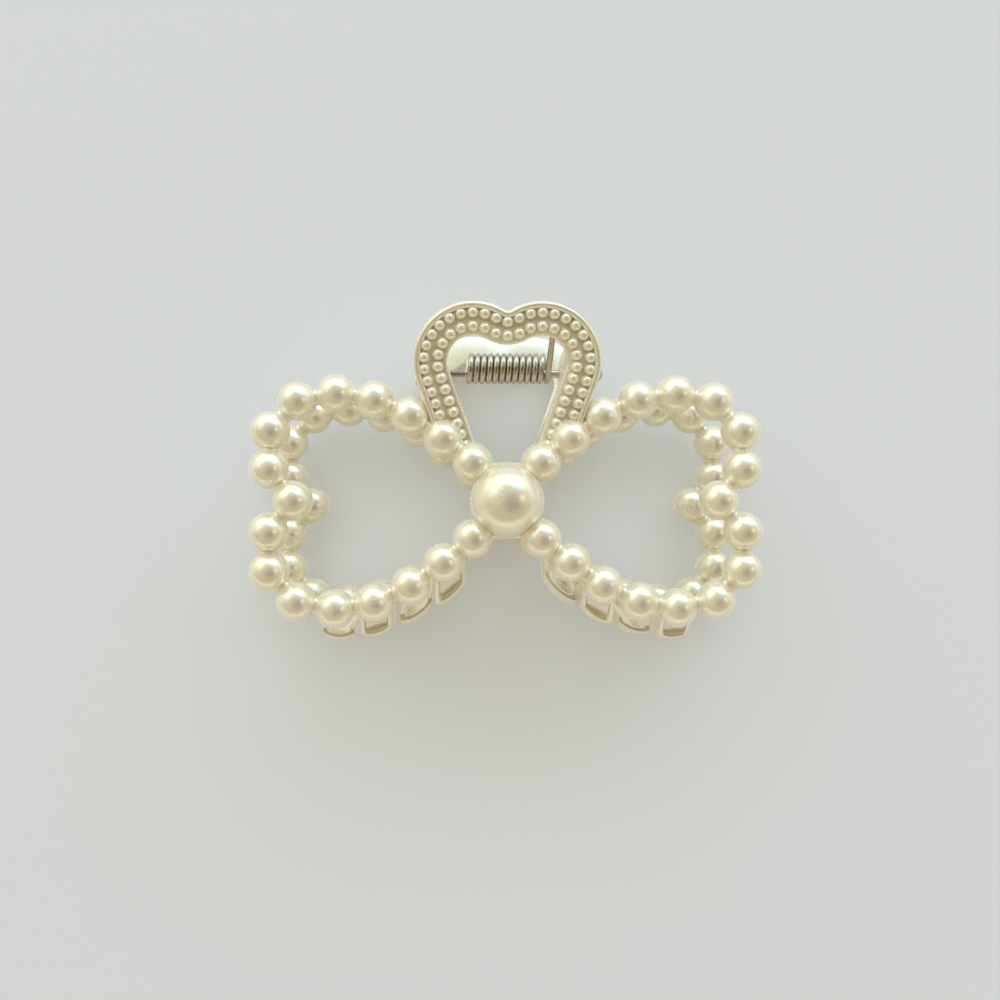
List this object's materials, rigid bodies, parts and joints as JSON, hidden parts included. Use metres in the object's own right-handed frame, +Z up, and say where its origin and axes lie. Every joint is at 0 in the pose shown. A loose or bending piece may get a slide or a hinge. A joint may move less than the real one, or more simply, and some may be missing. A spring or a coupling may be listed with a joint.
{
  "type": "claw hair clip",
  "caption": "Bow-shaped claw hair clip of moulded pearls: two hinged jaws with interlocking teeth, heart-shaped thumb grips, a steel pin and a torsion spring.",
  "frame": {"origin": "centre of the outline on the surface that the closed clip lies on, rear jaw down", "axes": "+X along the bow and the hinge pin, +Y from the teeth towards the heart grips, +Z up, from the rear jaw to the front jaw"},
  "size_m": [0.0852, 0.0563, 0.0353],
  "materials": {
    "pearl_plastic": "ivory pearl lacquer on moulded plastic",
    "spring_steel": "nickel plated steel wire and pin"
  },
  "bodies": {
    "rear_jaw": {"rear_strand_left": "pearl_plastic", "rear_strand_right": "pearl_plastic", "rear_centre_pearl": "pearl_plastic", "rear_hub_plate": "pearl_plastic", "rear_heart_ring": "pearl_plastic", "rear_seed_row_outer": "pearl_plastic", "rear_seed_row_inner": "pearl_plastic", "rear_inner_ear": "pearl_plastic", "rear_outer_ear": "pearl_plastic", "rear_tooth_left_inner": "pearl_plastic", "rear_tooth_left_outer": "pearl_plastic", "rear_tooth_right_inner": "pearl_plastic", "rear_tooth_right_outer": "pearl_plastic", "hinge_pin": "spring_steel", "spring_coil": "spring_steel", "spring_arm_rear": "spring_steel"},
    "front_jaw": {"front_strand_left": "pearl_plastic", "front_strand_right": "pearl_plastic", "front_centre_pearl": "pearl_plastic", "front_hub_plate": "pearl_plastic", "front_heart_ring": "pearl_plastic", "front_seed_row_outer": "pearl_plastic", "front_seed_row_inner": "pearl_plastic", "front_inner_ear": "pearl_plastic", "front_outer_ear": "pearl_plastic", "front_tooth_left_inner": "pearl_plastic", "front_tooth_left_outer": "pearl_plastic", "front_tooth_right_inner": "pearl_plastic", "front_tooth_right_outer": "pearl_plastic", "spring_arm_front": "spring_steel"}
  },
  "joints": [
    {"name": "jaw_hinge", "type": "hinge", "parent": "rear_jaw", "child": "front_jaw", "pos_m": [0, 0.01844, 0.01758], "axis": [-1, 0, 0], "range_deg": [0, 45], "stiffness_Nm_per_rad": 0.077, "springref_deg": -68.75}
  ]
}
